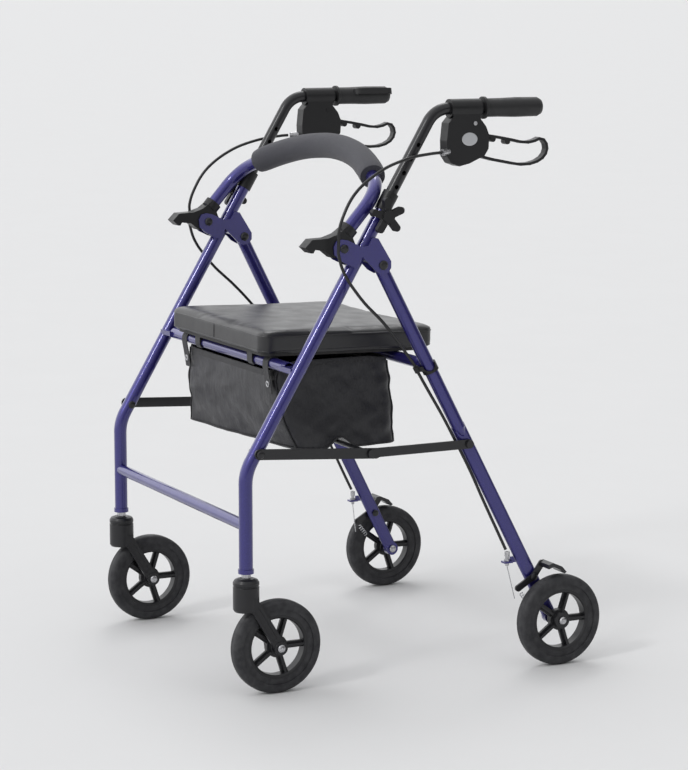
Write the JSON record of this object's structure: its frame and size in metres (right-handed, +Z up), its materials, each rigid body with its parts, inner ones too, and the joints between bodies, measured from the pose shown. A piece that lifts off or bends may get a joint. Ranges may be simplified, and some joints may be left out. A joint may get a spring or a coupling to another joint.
{
  "type": "rollator walker",
  "caption": "Folding wheeled walker with swivel casters, height-adjustable handles with loop brakes, padded flip-up seat, bag and padded back bar.",
  "frame": {"origin": "on the floor under the middle of the walker", "axes": "+Z up, -Y towards the casters, +Y towards the grips and the user, +X to the user's left"},
  "size_m": [0.673, 0.646, 0.939],
  "materials": {
    "frame_paint": "gloss metallic blue-violet",
    "black_paint": "satin black",
    "steel": "zinc plated",
    "black_plastic": "satin moulded",
    "cable_sheath": "satin",
    "tyre": "matte",
    "grip_rubber": "matte",
    "foam": "matte foam",
    "bag_cloth": "coated nylon",
    "vinyl": "soft vinyl",
    "board": "painted black"
  },
  "bodies": {
    "front_frame": {"front_leg_left": "frame_paint", "front_leg_right": "frame_paint", "lower_crossbar": "frame_paint", "seat_front_bar": "frame_paint", "backrest_brackets": "frame_paint", "rear_leg_brackets": "frame_paint", "bracket_bolts": "black_paint", "height_collars": "black_plastic", "caster_stems": "steel", "brace_leg_bolts": "black_paint", "bag": "bag_cloth", "bag_loops": "bag_cloth", "upper_cables": "cable_sheath"},
    "rear_frame": {"rear_leg_left": "frame_paint", "rear_leg_right": "frame_paint", "seat_rear_bar": "frame_paint", "cable_clips": "black_plastic", "cable_anchors": "frame_paint", "cable_adjusters": "steel", "rear_axle_left": "steel", "rear_axle_right": "steel", "brake_pivot_bolts": "black_paint", "brake_springs": "steel", "lower_cables": "cable_sheath", "brake_wires": "steel"},
    "rear_wheel_left": {"rear_rim_left": "black_plastic", "rear_tyre_left": "tyre"},
    "rear_wheel_right": {"rear_rim_right": "black_plastic", "rear_tyre_right": "tyre"},
    "caster_left": {"caster_fork_left": "black_plastic", "caster_axle_left": "steel"},
    "caster_right": {"caster_fork_right": "black_plastic", "caster_axle_right": "steel"},
    "caster_wheel_left": {"caster_rim_left": "black_plastic", "caster_tyre_left": "tyre"},
    "caster_wheel_right": {"caster_rim_right": "black_plastic", "caster_tyre_right": "tyre"},
    "front_braces": {"brace_front_left": "black_paint", "brace_front_right": "black_paint", "brace_cross_rod": "black_paint"},
    "rear_braces": {"brace_rear_left": "black_paint", "brace_rear_right": "black_paint"},
    "handle_left": {"handle_tube_left": "black_paint", "grip_left": "grip_rubber", "brake_housing_left": "black_plastic"},
    "handle_right": {"handle_tube_right": "black_paint", "grip_right": "grip_rubber", "brake_housing_right": "black_plastic"},
    "lever_left": {"brake_lever_left": "black_plastic"},
    "lever_right": {"brake_lever_right": "black_plastic"},
    "knob_left": {"height_knob_left": "black_plastic"},
    "knob_right": {"height_knob_right": "black_plastic"},
    "brake_left": {"brake_arm_left": "black_paint"},
    "brake_right": {"brake_arm_right": "black_paint"},
    "seat": {"seat_cushion": "vinyl", "seat_board": "board", "seat_clips": "black_plastic"},
    "backrest": {"backrest_tube": "frame_paint", "backrest_foam": "foam", "backrest_sockets": "black_plastic"}
  },
  "joints": [
    {"name": "frame_fold", "type": "hinge", "parent": "front_frame", "child": "rear_frame", "pos_m": [0, -0.064, 0.677], "axis": [1, 0, 0], "range_deg": [-30, 0], "deforming": ["lower_cables"]},
    {"name": "front_brace_fold", "type": "hinge", "parent": "front_frame", "child": "front_braces", "pos_m": [0, -0.28019, 0.39], "axis": [1, 0, 0], "range_deg": [-63.93, 0]},
    {"name": "rear_brace_fold", "type": "hinge", "parent": "front_braces", "child": "rear_braces", "pos_m": [0, -0.0895, 0.378], "axis": [1, 0, 0], "range_deg": [0, 109.03]},
    {"name": "seat_flip", "type": "hinge", "parent": "front_frame", "child": "seat", "pos_m": [0, -0.20597, 0.515], "axis": [1, 0, 0], "range_deg": [0, 75]},
    {"name": "backrest_fold", "type": "hinge", "parent": "front_frame", "child": "backrest", "pos_m": [0, -0.133, 0.706], "axis": [1, 0, 0], "range_deg": [0, 74]},
    {"name": "handle_slide_left", "type": "slide", "parent": "front_frame", "child": "handle_left", "axis": [0, 0.5105, 0.8599], "range_m": [-0.127, 0.0254], "deforming": ["upper_cables"]},
    {"name": "knob_turn_left", "type": "hinge", "parent": "front_frame", "child": "knob_left", "pos_m": [0.302, -0.06317, 0.7555], "axis": [1, 0, 0], "range_deg": [0, 540]},
    {"name": "brake_lever_left", "type": "hinge", "parent": "handle_left", "child": "lever_left", "pos_m": [0.27, 0.102, 0.897], "axis": [1, 0, 0], "range_deg": [0, 14], "stiffness_Nm_per_rad": 0.9},
    {"name": "brake_arm_left", "type": "hinge", "parent": "rear_frame", "child": "brake_left", "pos_m": [0.298, 0.20974, 0.148], "axis": [1, 0, 0], "range_deg": [-3, 0], "deforming": ["brake_springs", "brake_wires"]},
    {"name": "rear_spin_left", "type": "hinge", "parent": "rear_frame", "child": "rear_wheel_left", "pos_m": [0.318, 0.247, 0.076], "axis": [1, 0, 0], "continuous": true},
    {"name": "caster_swivel_left", "type": "hinge", "parent": "front_frame", "child": "caster_left", "pos_m": [0.27, -0.298, 0.165], "axis": [0, 0, 1], "continuous": true},
    {"name": "caster_spin_left", "type": "hinge", "parent": "caster_left", "child": "caster_wheel_left", "pos_m": [0.27, -0.247, 0.076], "axis": [1, 0, 0], "continuous": true},
    {"name": "handle_slide_right", "type": "slide", "parent": "front_frame", "child": "handle_right", "axis": [0, 0.5105, 0.8599], "range_m": [-0.127, 0.0254]},
    {"name": "knob_turn_right", "type": "hinge", "parent": "front_frame", "child": "knob_right", "pos_m": [-0.302, -0.06317, 0.7555], "axis": [-1, 0, 0], "range_deg": [0, 540]},
    {"name": "brake_lever_right", "type": "hinge", "parent": "handle_right", "child": "lever_right", "pos_m": [-0.27, 0.102, 0.897], "axis": [1, 0, 0], "range_deg": [0, 14], "stiffness_Nm_per_rad": 0.9},
    {"name": "brake_arm_right", "type": "hinge", "parent": "rear_frame", "child": "brake_right", "pos_m": [-0.298, 0.20974, 0.148], "axis": [1, 0, 0], "range_deg": [-3, 0]},
    {"name": "rear_spin_right", "type": "hinge", "parent": "rear_frame", "child": "rear_wheel_right", "pos_m": [-0.318, 0.247, 0.076], "axis": [1, 0, 0], "continuous": true},
    {"name": "caster_swivel_right", "type": "hinge", "parent": "front_frame", "child": "caster_right", "pos_m": [-0.27, -0.298, 0.165], "axis": [0, 0, 1], "continuous": true},
    {"name": "caster_spin_right", "type": "hinge", "parent": "caster_right", "child": "caster_wheel_right", "pos_m": [-0.27, -0.247, 0.076], "axis": [1, 0, 0], "continuous": true}
  ],
  "couplings": [
    {"joint": "front_brace_fold", "follows": "frame_fold", "ratio": 2.1144},
    {"joint": "rear_brace_fold", "follows": "frame_fold", "ratio": -3.6176},
    {"joint": "brake_arm_left", "follows": "brake_lever_left", "ratio": -0.2},
    {"joint": "brake_arm_right", "follows": "brake_lever_right", "ratio": -0.2}
  ]
}
